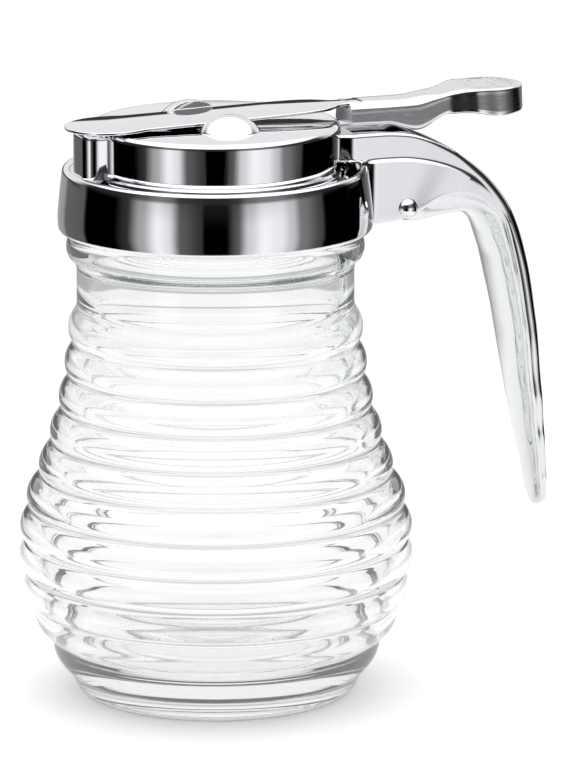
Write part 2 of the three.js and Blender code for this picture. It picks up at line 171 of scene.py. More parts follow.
# %% Helpers for curves and values
def arc(centre, radius, start, end, count):
    """Points on an arc in the outline's plane, with angles in degrees."""
    points = []
    for k in range(count + 1):
        a = math.radians(start + (end - start) * k / count)
        points.append((centre[0] + radius * math.cos(a), centre[1] + radius * math.sin(a)))
    return points


def eased(keys, x):
    """Read a value from (position, value) pairs, easing from one to the next."""
    if x <= keys[0][0]:
        return keys[0][1]
    for (x0, v0), (x1, v1) in zip(keys, keys[1:]):
        if x <= x1:
            t = (x - x0) / (x1 - x0)
            return v0 + (v1 - v0) * t * t * (3 - 2 * t)
    return keys[-1][1]


# %% [markdown]
# Wear and polish as a shared node group
#
# Plated metal is never quite even: fine wiping marks and faint cloudy patches change how sharply it
# mirrors. One node group makes that variation for every metal finish here. It gives a roughness that
# drifts between two values, and a tiny height for a Bump node.

# %% Node group for polish
def make_polish_group():
    group = bpy.data.node_groups.new("polish_marks", "ShaderNodeTree")
    face = group.interface
    scale = face.new_socket("Scale", in_out="INPUT", socket_type="NodeSocketFloat")
    scale.default_value = 60
    low = face.new_socket("Low", in_out="INPUT", socket_type="NodeSocketFloat")
    low.default_value = 0.03
    high = face.new_socket("High", in_out="INPUT", socket_type="NodeSocketFloat")
    high.default_value = 0.08
    face.new_socket("Roughness", in_out="OUTPUT", socket_type="NodeSocketFloat")
    face.new_socket("Height", in_out="OUTPUT", socket_type="NodeSocketFloat")
    nodes, links = group.nodes, group.links
    enter = nodes.new("NodeGroupInput")
    leave = nodes.new("NodeGroupOutput")
    place = nodes.new("ShaderNodeTexCoord")
    cloud = nodes.new("ShaderNodeTexNoise")
    cloud.inputs["Detail"].default_value = 4
    links.new(place.outputs["Object"], cloud.inputs["Vector"])
    links.new(enter.outputs["Scale"], cloud.inputs["Scale"])
    wipe = nodes.new("ShaderNodeTexNoise")
    wipe.inputs["Detail"].default_value = 2
    stretch = nodes.new("ShaderNodeMapping")
    stretch.inputs["Scale"].default_value = (1, 1, 9)
    links.new(place.outputs["Object"], stretch.inputs["Vector"])
    links.new(stretch.outputs["Vector"], wipe.inputs["Vector"])
    finer = nodes.new("ShaderNodeMath")
    finer.operation = "MULTIPLY"
    finer.inputs[1].default_value = 6
    links.new(enter.outputs["Scale"], finer.inputs[0])
    links.new(finer.outputs[0], wipe.inputs["Scale"])
    both = nodes.new("ShaderNodeMath")
    both.operation = "MULTIPLY"
    links.new(cloud.outputs["Fac"], both.inputs[0])
    links.new(wipe.outputs["Fac"], both.inputs[1])
    spread = nodes.new("ShaderNodeMapRange")
    spread.inputs["From Min"].default_value = 0.15
    spread.inputs["From Max"].default_value = 0.4
    links.new(both.outputs[0], spread.inputs["Value"])
    links.new(enter.outputs["Low"], spread.inputs["To Min"])
    links.new(enter.outputs["High"], spread.inputs["To Max"])
    links.new(spread.outputs["Result"], leave.inputs["Roughness"])
    links.new(cloud.outputs["Fac"], leave.inputs["Height"])
    return group


polish_group = make_polish_group()
print("polish group sockets:", [s.name for s in polish_group.interface.items_tree])


# %% Metal finishes
def metal(name, colour, scale, low, high, ripple):
    """Plated metal with an uneven polish."""
    mat = bpy.data.materials.new(name)
    mat.use_nodes = True
    nodes, links = mat.node_tree.nodes, mat.node_tree.links
    surface = nodes["Principled BSDF"]
    surface.inputs["Base Color"].default_value = (*colour, 1)
    surface.inputs["Metallic"].default_value = 1.0
    polish = nodes.new("ShaderNodeGroup")
    polish.node_tree = polish_group
    polish.inputs["Scale"].default_value = scale
    polish.inputs["Low"].default_value = low
    polish.inputs["High"].default_value = high
    links.new(polish.outputs["Roughness"], surface.inputs["Roughness"])
    bump = nodes.new("ShaderNodeBump")
    bump.inputs["Strength"].default_value = 0.08
    bump.inputs["Distance"].default_value = ripple
    links.new(polish.outputs["Height"], bump.inputs["Height"])
    links.new(bump.outputs["Normal"], surface.inputs["Normal"])
    return mat


chrome = metal("polished_chrome", (0.87, 0.88, 0.9), 45, 0.02, 0.06, 0.00004)
chrome_soft = metal("plated_casting", (0.80, 0.81, 0.83), 70, 0.12, 0.24, 0.00012)
chrome_handle = metal("plated_handle", (0.78, 0.79, 0.805), 60, 0.04, 0.09, 0.00006)
print("metal finishes:", chrome.name, chrome_soft.name, chrome_handle.name)

# %% [markdown]
# Clear glass
#
# Glass is mostly what lies behind it, bent at every curve. Its shader needs a true refractive index and
# walls of real thickness with the faces pointing out, on the inside as well. A very faint grey-green
# body colour and a soft ripple stand for moulded glass, which is never optically flat.
#
# Light goes on bouncing in the thick base long after a renderer stops following it, and what is cut off
# there turns black. A faint glow on rays that have already bounced a few times gives that light back.

# %% Glass finish
glass = bpy.data.materials.new("pressed_clear_glass")
glass.use_nodes = True
surface = glass.node_tree.nodes["Principled BSDF"]
surface.inputs["Base Color"].default_value = (0.985, 0.995, 0.99, 1)
surface.inputs["Metallic"].default_value = 0.0
surface.inputs["Roughness"].default_value = 0.0
surface.inputs["IOR"].default_value = 1.5
surface.inputs["Transmission Weight"].default_value = 1.0
nodes, links = glass.node_tree.nodes, glass.node_tree.links
place = nodes.new("ShaderNodeTexCoord")
ripple = nodes.new("ShaderNodeTexNoise")
ripple.inputs["Scale"].default_value = 55
ripple.inputs["Detail"].default_value = 1
links.new(place.outputs["Object"], ripple.inputs["Vector"])
bump = nodes.new("ShaderNodeBump")
bump.inputs["Strength"].default_value = 0.12
bump.inputs["Distance"].default_value = 0.0002
links.new(ripple.outputs["Fac"], bump.inputs["Height"])
links.new(bump.outputs["Normal"], surface.inputs["Normal"])

# %% Glow for rays that have bounced often
paths = nodes.new("ShaderNodeLightPath")
long_path = nodes.new("ShaderNodeMath")
long_path.operation = "GREATER_THAN"
long_path.inputs[1].default_value = 2.5
links.new(paths.outputs["Glossy Depth"], long_path.inputs[0])
glow = nodes.new("ShaderNodeMath")
glow.operation = "MULTIPLY"
glow.inputs[1].default_value = 0.06
links.new(long_path.outputs[0], glow.inputs[0])
surface.inputs["Emission Color"].default_value = (0.97, 1.0, 0.98, 1)
links.new(glow.outputs[0], surface.inputs["Emission Strength"])
print("glass finish:", glass.name)


# %% Helper that dresses a piece
def dress(piece, mat, slot_name, body, *nodes_replaced):
    """Give a piece its finish, tie it to its body and let it stand for CAD nodes."""
    piece.data.materials.clear()
    piece.data.materials.append(mat)
    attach(piece, body)
    if nodes_replaced:
        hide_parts(*nodes_replaced)
    report(piece)
    return piece


# %% [markdown]
# The jar
#
# The jar is moulded from clear glass: a pear shape with round ribs stacked up it like a beehive. Each rib
# is a bulge between two grooves. The crest radii give the pear shape, and a power curve gives each
# bulge its roundness, so one short loop draws the whole outline.

# %% Jar sizes
CREST_R = [39.1, 43.7, 46.8, 48.0, 47.7, 45.9, 42.7, 40.0, 37.9, 36.5, 35.6]
FIRST_CREST = 9.0
PITCH = 8.15
GROOVE = 1.7
HEEL_R = 35.6
NECK_R = 33.5
ROUNDNESS = 2.1


def body_radius(height):
    """Radius of the pear shape through the crests."""
    f = (height - FIRST_CREST) / PITCH
    i = max(0, min(len(CREST_R) - 2, math.floor(f)))
    return CREST_R[i] + (CREST_R[i + 1] - CREST_R[i]) * (f - i)


# %% Jar outline
def rib_points(index, count=14):
    """Outline of one rib from its lower groove to its upper groove."""
    middle = FIRST_CREST + index * PITCH
    low, high = middle - PITCH / 2, middle + PITCH / 2
    r_low = HEEL_R if index == 0 else body_radius(low) - GROOVE
    last = index == len(CREST_R) - 1
    r_high = NECK_R + 0.4 if last else body_radius(high) - GROOVE
    bulge = CREST_R[index] - (r_low + r_high) / 2
    points = []
    for k in range(count):
        t = (k + 0.35) / (count - 0.3)
        s = abs(2 * t - 1)
        radius = r_low + (r_high - r_low) * t + bulge * (1 - s ** ROUNDNESS)
        points.append((radius, low + (high - low) * t))
    return points


# The foot ring comes first, then the ribs, and last the neck with its bead and the rim in the collar.
outside = [
    (0, 1.1), (22, 1.1), (27.5, 0.9), (30.2, 0.25), (31.4, 0.0), (32.4, 0.05), (33.4, 0.6), (34.2, 1.7),
]
for i in range(len(CREST_R)):
    outside += rib_points(i)
outside += [
    (NECK_R + 0.25, 94.8), (NECK_R, 96.5), (NECK_R, 100), (NECK_R, 104.6), (NECK_R + 0.3, 106.2),
    (NECK_R + 1.1, 107.2), (NECK_R + 2.0, 108.0), (35.9, 109.2), (36.0, 110.3), (35.8, 111.5), (35.2, 112.6),
    (34.2, 113.2), (32.7, 113.5), (32.4, 114.2), (32.4, 125.0), (32.1, 125.7), (31.4, 126.0),
]
print("jar outline outside:", len(outside), "points")

# %% [markdown]
# The inside of the jar
#
# Such a jar is blown into its mould, so the inner wall follows the ribs, only more softly. With that wave
# each ring bends the light like a lens.

# %% Jar outline inside
SHOULDER_Z = 97.5
FLOOR_EDGE_Z = 13.5
WAVE = 0.8
LEVELS = 60
inside = [(30.2, 126.0), (29.7, 125.7), (29.4, 125.0), (29.4, 114.0), (29.6, 108.0), (30.0, 102.0)]
for k in range(LEVELS):
    height = SHOULDER_Z - (SHOULDER_Z - FLOOR_EDGE_Z) * k / (LEVELS - 1)
    wave = WAVE * math.cos((height - FIRST_CREST) / PITCH * 2 * math.pi)
    wall = 3.5 + 0.4 * (1 - height / SHOULDER_Z)
    neck = eased([(90, 0), (98, 1.0)], height)
    inside.append((body_radius(height) - wall + wave - neck, height))
inside += [(36.2, 11.6), (34.0, 9.4), (31.0, 7.9), (27.0, 7.15), (20.0, 6.9), (10.0, 6.8), (0, 6.8)]
print("jar outline inside:", len(inside), "points")

# %% Jar
jar = turned("jar_glass", outside + inside, steps=160, sharp=50)
dress(jar, glass, "glass", "body", "jar")

# %% [markdown]
# The screw collar
#
# A band of bright metal holds the top on the jar. It is drawn over a round edge at the bottom, tapers in
# slightly as it goes up, and is rolled into a lip at the top, with a shallow gutter inside the lip.

# %% Collar
lower_edge = [(33.6, 114.1), (36.6, 114.1)] + arc((36.7, 115.3), 1.2, -85, -2, 6)[1:]
band = [(38.0, 117.5), (37.75, 120.5), (37.35, 124.5), (37.05, 127.0)]
lip = arc((35.75, 128.25), 1.15, 5, 175, 9)
gutter = [(34.3, 127.95), (33.6, 127.75), (32.6, 127.75), (31.9, 127.9), (31.55, 128.2)]
inner_side = [(31.4, 127.6), (31.4, 126.6), (33.0, 126.6), (33.0, 114.6)]
collar = turned("screw_collar", lower_edge + band + lip + gutter + inner_side, steps=160)
dress(collar, chrome, "chrome", "body", "collar")

# %% [markdown]
# The pour top
#
# Above the collar stands a shallow round can with a flat mirror lid. A short spout pushes out of its
# wall on the side away from the handle, and its rim is rounded over. The can and the spout share one
# outline, which is extruded, and the rim edge is then selected by its height and bevelled.

# %% Helpers for flat outlines and cuts
def prism(name, outline, low, high):
    """A solid with one flat outline, in mm, from one height to another."""
    bpy.ops.object.select_all(action="DESELECT")
    bpy.ops.mesh.primitive_circle_add(vertices=len(outline), radius=0.01, fill_type="NGON")
    piece = named(bpy.context.object, name)
    for vert, (x, y) in zip(piece.data.vertices, outline):
        vert.co = (x * MM, y * MM, low * MM)
    bpy.ops.object.mode_set(mode="EDIT")
    bpy.ops.mesh.select_all(action="SELECT")
    bpy.ops.mesh.extrude_region_move(TRANSFORM_OT_translate={"value": (0, 0, (high - low) * MM)})
    bpy.ops.object.mode_set(mode="OBJECT")
    clean(piece)
    return piece


def cut(piece, tool, how):
    """Join or cut with another solid, then drop the tool."""
    only(piece)
    step = piece.modifiers.new("cut", "BOOLEAN")
    step.operation = how
    step.solver = "EXACT"
    step.object = tool
    bpy.ops.object.modifier_apply(modifier="cut")
    bpy.data.objects.remove(tool, do_unlink=True)


def spout_outline(tip, half, corner, root):
    """Outline of the spout: a short box with two round corners at its tip."""
    far = arc((tip + corner, half - corner), corner, 180, 90, 8)
    near = [(x, -y) for x, y in reversed(far)]
    return [(root, -half)] + near + far + [(root, half)]


# %% Pour top
TOP_R = 30.2
TOP_Z = 140.0
WALL = 1.4
SPOUT_HALF = 5.8
SPOUT_TIP = -35.1
FOOT_TOP = 129.1
start = math.degrees(math.asin(SPOUT_HALF / TOP_R))
can = arc((0, 0), TOP_R, -180 + start, 180 - start, 150)
spout = spout_outline(SPOUT_TIP, SPOUT_HALF, 3.4, -29.6)
pour_top = prism("pour_top_shell", can + list(reversed(spout[1:-1])), FOOT_TOP, TOP_Z)
print("outline of the can and the spout:", len(pour_top.data.vertices) // 2, "points")

# %% Rounded rim of the pour top
only(pour_top)
bpy.ops.object.mode_set(mode="EDIT")
bpy.ops.mesh.select_mode(type="VERT")
bpy.ops.mesh.select_all(action="DESELECT")
bpy.ops.object.mode_set(mode="OBJECT")
for vert in pour_top.data.vertices:
    vert.select = vert.co.z > (TOP_Z - 0.1) * MM
bpy.ops.object.mode_set(mode="EDIT")
bpy.ops.mesh.select_mode(type="EDGE")
bpy.ops.mesh.bevel(offset=1.5 * MM, segments=7, affect="EDGES", clamp_overlap=False)
bpy.ops.mesh.select_mode(type="VERT")
bpy.ops.object.mode_set(mode="OBJECT")
report(pour_top)

# %% Pour top foot and hollow
foot_outline = [
    (20, 126.5), (TOP_R + 0.9, 126.5), (TOP_R + 0.9, 128.5), (TOP_R + 0.6, 129.0), (TOP_R - 0.1, 129.3),
    (20, 129.3),
]
cut(pour_top, turned("foot", foot_outline, 150), "UNION")
LID_UNDER = 138.4
room = prism("room", arc((0, 0), TOP_R - WALL, 0, 357, 119), 120, LID_UNDER)
cut(pour_top, room, "DIFFERENCE")
channel = prism("channel", spout_outline(SPOUT_TIP + WALL, SPOUT_HALF - WALL, 2.2, -24.5), 130.5, 145)
cut(pour_top, channel, "DIFFERENCE")
clean(pour_top, 2 * DOUBLES)
smooth(pour_top, 32)
dress(pour_top, chrome, "chrome", "body", "pour_top")

# %% [markdown]
# The guide buttons
#
# Two domed buttons stand on the lid, and the sliding cover runs between them. Each is part of a ball,
# with its inner side cut flat as a guide. A UV sphere gives the dome, and bisect cuts the base and the
# flat side and fills the cuts. The front button stands a little nearer to the handle than the back one.

# %% Guide buttons
BUTTON_R = 7.5
BUTTON_H = 3.7
BUTTON_Y = 11.0
GUIDE_Y = 9.6


def guide_button(name, side, along):
    ball = (BUTTON_R ** 2 + BUTTON_H ** 2) / (2 * BUTTON_H)
    base = TOP_Z + 0.02
    bpy.ops.object.select_all(action="DESELECT")
    bpy.ops.mesh.primitive_uv_sphere_add(segments=96, ring_count=96, radius=ball * MM)
    piece = named(bpy.context.object, name)
    centre = Vector((along, side * BUTTON_Y, base + BUTTON_H - ball)) * MM
    piece.data.transform(Matrix.Translation(centre))
    bpy.ops.object.mode_set(mode="EDIT")
    bpy.ops.mesh.select_all(action="SELECT")
    bpy.ops.mesh.bisect(plane_co=(0, 0, base * MM), plane_no=(0, 0, 1), use_fill=True, clear_inner=True)
    bpy.ops.mesh.select_all(action="SELECT")
    bpy.ops.mesh.bisect(plane_co=(0, side * GUIDE_Y * MM, 0), plane_no=(0, side, 0),
                        use_fill=True, clear_inner=True)
    bpy.ops.object.mode_set(mode="OBJECT")
    clean(piece)
    only(piece)
    edge = piece.modifiers.new("soft_edge", "BEVEL")
    edge.width = 0.35 * MM
    edge.segments = 3
    edge.limit_method = "ANGLE"
    edge.angle_limit = math.radians(40)
    bpy.ops.object.modifier_apply(modifier="soft_edge")
    clean(piece)
    smooth(piece, 30)
    return piece


button_front = guide_button("guide_dome_front", -1, -0.6)
dress(button_front, chrome, "chrome", "body", "guide_button_front")
button_back = guide_button("guide_dome_back", 1, -2.2)
dress(button_back, chrome, "chrome", "body", "guide_button_back")

# %% [markdown]
# The sliding cover
#
# A thin sheet in the shape of a teardrop lies over the spout and runs back to the lever. Its outline is
# set on a circle's points, filled, extruded to the sheet's thickness and bevelled, then tilted up a
# little towards the lever as on the real one.

# %% Cover outline
NOSE_X = -37.7
NOSE_Z = 140.32
NOSE_R = 10.7
SHEET = 0.7
TILT = math.radians(1.45)
half = []
for k in range(25):
    a = math.pi - (k / 24) * 1.66
    half.append((NOSE_X + NOSE_R + NOSE_R * math.cos(a), NOSE_R * math.sin(a)))
half += [
    (-23.0, 10.2), (-21.6, 9.65), (-20.2, 9.35), (-16, 9.2), (-10, 9.1), (0, 9.0), (8, 8.9), (14, 8.7), (19, 8.4),
    (22.5, 8.0), (25.2, 7.3), (27.3, 6.3), (28.9, 5.1), (30.1, 3.9), (31.2, 3.1), (32.6, 2.8), (37.0, 2.8),
]
cover_outline = half + [(x, -y) for x, y in reversed(half[1:])]
print("cover outline:", len(cover_outline), "points")

# %% Sheet of the cover
bpy.ops.object.select_all(action="DESELECT")
bpy.ops.mesh.primitive_circle_add(vertices=len(cover_outline), radius=0.01, fill_type="NGON")
cover = named(bpy.context.object, "sliding_cover")
for vert, (x, y) in zip(cover.data.vertices, cover_outline):
    vert.co = (x * MM, y * MM, 0)
bpy.ops.object.mode_set(mode="EDIT")
bpy.ops.mesh.select_all(action="SELECT")
bpy.ops.mesh.extrude_region_move(TRANSFORM_OT_translate={"value": (0, 0, SHEET * MM)})
bpy.ops.object.mode_set(mode="OBJECT")
clean(cover)
only(cover)
edge = cover.modifiers.new("rolled_edge", "BEVEL")
edge.width = 0.22 * MM
edge.segments = 3
edge.limit_method = "ANGLE"
edge.angle_limit = math.radians(60)
bpy.ops.object.modifier_apply(modifier="rolled_edge")
tilt = Matrix.Translation((NOSE_X * MM, 0, NOSE_Z * MM)) @ Matrix.Rotation(-TILT, 4, "Y")
cover.data.transform(tilt @ Matrix.Translation((-NOSE_X * MM, 0, 0)))
smooth(cover, 40)
dress(cover, chrome, "chrome", "gate", "slide_plate")

# %% [markdown]
# Skinning
#
# The lever and the handle change their section all along, so no primitive fits them. Both are skinned:
# a grid is added, each of its columns is set on one cross-section, its long edges are merged, and the
# two open ends are filled.

# %% Skin over cross-sections
def skinned(name, rings):
    """Join equal rings of points, in mm, into one closed skin."""
    around, columns = len(rings[0]), len(rings)
    bpy.ops.object.select_all(action="DESELECT")
    bpy.ops.mesh.primitive_grid_add(x_subdivisions=columns - 1, y_subdivisions=around, size=1)
    piece = named(bpy.context.object, name)
    for index, vert in enumerate(piece.data.vertices):
        row, column = divmod(index, columns)
        vert.co = Vector(rings[column][row % around]) * MM
    bpy.ops.object.mode_set(mode="EDIT")
    bpy.ops.mesh.select_mode(type="VERT")
    bpy.ops.mesh.select_all(action="SELECT")
    bpy.ops.mesh.remove_doubles(threshold=2 * DOUBLES)
    bpy.ops.mesh.select_all(action="DESELECT")
    bpy.ops.mesh.select_non_manifold(
        extend=False, use_boundary=True, use_wire=False,
        use_multi_face=False, use_non_contiguous=False, use_verts=False,
    )
    bpy.ops.mesh.edge_face_add()
    bpy.ops.object.mode_set(mode="OBJECT")
    clean(piece)
    return piece


# %% [markdown]
# The thumb lever
#
# The lever is a plated casting: a crowned arm that runs over the handle and widens into an oval thumb
# pad with fine grip rings. Its cross-section has a crowned top with sloping shoulders, upright sides and
# a flat bottom with soft corners. Short tables say how high, how wide and how crowned it is along X,
# and the skin goes over 161 such sections, which stand closer together towards the round end.

# %% Lever sizes
LEVER_X0 = 33.4
LEVER_X1 = 79.4
PAD_X = 69.8
PAD_HALF = 9.7
lever_top = [(33, 143.3), (48, 143.2), (56, 143.8), (64, 145.1), (74, 145.1), (79.4, 144.8)]
lever_edge = [(33, 140.6), (50, 140.9), (60, 142.9), (66, 144.0), (76, 144.0), (79.4, 143.6)]
lever_low = [
    (33, 137.7), (42, 137.6), (50, 135.7), (59, 139.0), (63, 139.2), (71, 138.1), (77, 138.7), (79.4, 139.4),
]
lever_half = [(33, 5.5), (50, 6.3), (58, 6.2), (66, 9.0), (PAD_X + 1, PAD_HALF)]
lever_shoulder = [(50, 2.4), (64, 5.0)]
BLUNT = 0.0016
print("lever runs from", LEVER_X0, "to", LEVER_X1, "mm")


# %% Lever cross-section
def lever_section(x):
    """Half of the section at x: (half width, height) from the top to the bottom."""
    finish = max(0.0, (x - PAD_X) / (LEVER_X1 - PAD_X))
    shape = math.sqrt(max(BLUNT, 1 - finish ** 2.4))
    top, edge, low = eased(lever_top, x), eased(lever_edge, x), eased(lever_low, x)
    wide = eased(lever_half, x) * shape
    upper = wide - 0.15 * (edge - low) * min(1.0, shape * 1.5)
    upper = max(upper, wide * 0.6)
    power = 2 / eased(lever_shoulder, x)
    half = []
    for k in range(13):
        a = math.pi / 2 * k / 12
        crown_z = edge + (top - edge) * max(0.0, math.cos(a)) ** power
        half.append((upper * math.sin(a) ** power, crown_z))
    for k in range(1, 7):
        t = k / 6
        half.append((upper + (wide - upper) * t, edge + (low + 0.45 - edge) * t))
    half += [(wide * 0.985, low + 0.14), (wide * 0.95, low), (wide * 0.6, low), (wide * 0.3, low), (0, low)]
    return half


def lever_ring(x):
    """The whole section at x, as points in space."""
    half = lever_section(x)
    return [(x, y, z) for y, z in half] + [(x, -y, z) for y, z in reversed(half[1:-1])]


# %% Lever skin and the notch for the cover's tongue
LEVER_STEPS = 160
stations = []
for k in range(LEVER_STEPS + 1):
    along = math.sin(math.pi / 2 * k / LEVER_STEPS) ** 1.15
    stations.append(LEVER_X0 + (LEVER_X1 - LEVER_X0) * along)
lever = skinned("thumb_lever_casting", [lever_ring(x) for x in stations])
notch = prism("notch", [(30, -2.95), (37.3, -2.95), (37.3, 2.95), (30, 2.95)], 141.5, 150)
cut(lever, notch, "DIFFERENCE")
clean(lever)
report(lever)

# %% Grip rings on the thumb pad
RING_CENTRE_X = PAD_X + 0.4
RING_PITCH = 1.35
RING_DEEP = 0.16
RINGS_REACH = 7.0
moved = 0
for vert in lever.data.vertices:
    x, y, z = (v / MM for v in vert.co)
    reach = math.hypot((x - RING_CENTRE_X) / 0.92, y / 1.12)
    if z > eased(lever_edge, x) + 0.25 and reach < RINGS_REACH:
        vert.co.z -= RING_DEEP * MM * (0.5 + 0.5 * math.cos(reach * 2 * math.pi / RING_PITCH))
        moved += 1
print("points pressed in for the grip rings:", moved)
smooth(lever, 50)
dress(lever, chrome_soft, "cast", "gate", "thumb_lever")

# %% [markdown]
# The handle
#
# The handle is one bright casting. A curved crown runs back from the lid and turns down as the grip. Its
# section changes all the way: at the head it has two tall cheeks with a soft step along them, and at the
# grip it is a slim bar with a rounded inner face, which is kinder to the fingers. Such a shape is skinned
# over many cross-sections: each is set square to the crown's curve, and the skin joins them in order.
#
# Four curves in the side view hold the shape: the crown on top, the step along the cheeks, the cheeks'
# lower edge, and the belly, which is the lowest line of the rounded inner face. All are (x, z) in mm.

# %% Handle crown and step
crown_guides = [
    (26, 136.9), (31, 136.9), (36, 136.9), (42, 136.7), (48.4, 135.6), (56.4, 132.2), (62.7, 128.1), (68.0, 123.4),
    (72.5, 117.6), (75.7, 111.2), (78.1, 104.2), (80.0, 95.4), (82.1, 82.0), (83.8, 68.0), (85.2, 56.0),
    (86.2, 46.0), (86.5, 40.4), (86.2, 37.6),
]
step_guides = [
    (20, 129.4), (28, 129.4), (41.3, 129.4), (46.3, 129.1), (51.2, 128.2), (56.2, 126.7), (61.2, 124.4),
    (66.0, 121.0), (69.8, 116.3), (71.6, 112.4), (71.9, 110.6), (74.6, 100.0), (84.1, 36.0), (84.2, 30.0),
]
print("crown guides:", len(crown_guides), "step guides:", len(step_guides))

# %% Handle cheek edge and belly
cheek_guides = [
    (20, 114.2), (28, 114.2), (36.5, 114.5), (43.3, 115.0), (48.2, 116.3), (51.1, 118.0), (54.0, 119.6),
    (58.0, 120.4), (61.0, 120.1), (64.0, 118.9), (67.4, 116.4), (70.4, 113.6), (71.7, 110.8), (74.5, 100.0),
    (77.0, 87.0), (79.2, 72.0), (81.1, 60.0), (82.7, 50.0), (83.9, 40.6), (84.1, 36.0), (84.2, 30.0),
]
belly_guides = [
    (20, 114.05), (28, 114.05), (36, 114.2), (41, 114.4), (44, 113.9), (47, 113.0), (50, 112.4), (53.5, 112.7),
    (57, 113.4), (60, 114.0), (62.7, 114.1), (64.6, 113.3), (66.2, 112.2), (67.6, 110.8), (68.6, 109.0),
    (69.2, 107.0), (70.0, 105.1), (71.8, 99.0), (75.6, 80.9), (82.0, 36.0), (82.1, 30.0),
]
print("cheek guides:", len(cheek_guides), "belly guides:", len(belly_guides))


# %% Helpers for curves through guide points
def through(guides, steps=24):
    """A smooth curve through guide points."""
    points = []
    for i in range(len(guides) - 1):
        p0 = Vector(guides[max(0, i - 1)])
        p1, p2 = Vector(guides[i]), Vector(guides[i + 1])
        p3 = Vector(guides[min(len(guides) - 1, i + 2)])
        for k in range(steps):
            t = k / steps
            a = p1 * 2 + (p2 - p0) * t
            b = (p0 * 2 - p1 * 5 + p2 * 4 - p3) * t * t
            c = (p1 * 3 - p0 - p2 * 3 + p3) * t * t * t
            points.append((a + b + c) / 2)
    points.append(Vector(guides[-1]))
    return points


def evenly(points, count):
    """The same curve with points at even distances."""
    run = [0.0]
    for a, b in zip(points, points[1:]):
        run.append(run[-1] + (b - a).length)
    result, j = [], 0
    for k in range(count + 1):
        goal = run[-1] * k / count
        while j < len(run) - 2 and run[j + 1] < goal:
            j += 1
        t = (goal - run[j]) / max(1e-9, run[j + 1] - run[j])
        result.append(points[j].lerp(points[j + 1], t))
    return result


# %% [markdown]
# Stations along the crown
#
# At 171 even stations a line goes from the crown straight into the handle, and three depths are measured
# on it: to the step, to the cheeks' edge and to the belly. In a tight bend such lines would cross, and
# the skin would cut through itself, so the directions are evened out before the depths are measured.

# %% Depths at each station
STATIONS = 170
EVEN_OUT = 25


def depth_to(curve, point, inward):
    """Distance from a crown point to a lower curve, straight inwards."""
    best = None
    for a, b in zip(curve, curve[1:]):
        d, e = b - a, a - point
        den = inward.x * d.y - inward.y * d.x
        if abs(den) < 1e-9:
            continue
        t = (e.x * d.y - e.y * d.x) / den
        s = (e.x * inward.y - e.y * inward.x) / den
        if t > 0.5 and -0.001 <= s <= 1.001 and (best is None or t < best):
            best = t
    return best


def depths(guides):
    """Depth from the crown to one guide curve at each station, evened out a little."""
    curve, row = through(guides, 12), []
    for point, inward in zip(crown, inwards):
        row.append(depth_to(curve, point, inward) or row[-1])
    for _ in range(5):
        row[1:-1] = [(a + 2 * b + c) / 4 for a, b, c in zip(row, row[1:], row[2:])]
    return row


crown = evenly(through(crown_guides), STATIONS)
inwards = []
for i in range(STATIONS + 1):
    ahead = (crown[min(i + 1, STATIONS)] - crown[max(i - 1, 0)]).normalized()
    inwards.append(Vector((ahead.y, -ahead.x)))
for _ in range(EVEN_OUT):
    inwards[1:-1] = [(a + b * 2 + c).normalized() for a, b, c in zip(inwards, inwards[1:], inwards[2:])]
cheek_depth, step_depth, belly_depth = depths(cheek_guides), depths(step_guides), depths(belly_guides)
print("cheek depth along the crown:", [round(v, 1) for v in cheek_depth[::17]])
print("step depth along the crown:", [round(v, 1) for v in step_depth[::17]])
print("belly depth along the crown:", [round(v, 1) for v in belly_depth[::17]])

# %% [markdown]
# The handle's cross-section
#
# Half of the section is a row of (depth, half width) points, from the middle of the crown down to the
# middle of the belly. Widths come first: the strip under the crown, the cheeks, which stand proud of it
# at the head, and the belly between them. Below BAR_BELOW the section is the grip's plain bar.

# %% Widths along the handle
GRIP_FROM_X = 60
BAR_BELOW = 110
SEAT_TAPER = 0.42
strip_half = [(31.1, 11.1), (50, 11.0), (60, 10.7), (72, 11.0), (75, 11.0)]
cheek_half = [(36, 12.0), (50, 11.9), (62, 11.3), (72, 11.0)]
grip_half = [(37.6, 3.6), (40.5, 5.0), (46, 5.8), (58, 7.2), (69, 8.6), (87, 10.2), (101, 10.9), (110, 11.0)]


def slant(point):
    """How far the sides lean in towards the crown: 0 at the head, 1 on the grip."""
    return 1 - eased([(103, 0.0), (118, 1.0)], point.y) if point.x > GRIP_FROM_X else 0.0


def half_widths(i):
    """Half widths of the strip under the crown and of the cheeks at one station."""
    point = crown[i]
    if point.y < BAR_BELOW and point.x > GRIP_FROM_X:
        strip = cheek = eased(grip_half, point.y)
    else:
        strip = eased(strip_half, point.x)
        proud = max(0.0, min(1.0, (cheek_depth[i] - step_depth[i]) / 4.0))
        cheek = strip + proud * (eased(cheek_half, point.x) - strip)
        strip -= max(0.0, 31.1 - point.x) * SEAT_TAPER
        cheek -= max(0.0, 36.5 - point.x) * SEAT_TAPER
    return strip - min(0.25 * cheek_depth[i] * slant(point), 1.4), cheek


for i in range(0, STATIONS + 1, 34):
    print("half widths at station", i, "are", [round(w, 1) for w in half_widths(i)])

# %% Belly and rounding along the handle
grip_belly = [(38, 0.9), (60, 1.9), (82, 2.3), (104, 2.9), (111, 3.5)]
round_keys = [(50, 0.9), (58, 1.2), (66, 1.9), (70, 2.1), (78, 2.1), (82, 1.6), (85, 1.0), (86.5, 0.7)]
ROOM_HALF = 9.4


def belly_size(i, cheek):
    """How far the belly bulges below the cheeks' edge, and its half width."""
    point = crown[i]
    from_line = eased([(103, 0.0), (111, 1.0)], point.y) if point.x > GRIP_FROM_X else 1.0
    line = max(0.1, belly_depth[i] - cheek_depth[i])
    reach = cheek - 0.95
    reach -= max(0.0, reach - (ROOM_HALF - 0.1)) * (1 - eased([(64, 0.0), (73, 1.0)], point.x))
    return eased(grip_belly, point.y) * (1 - from_line) + line * from_line, reach


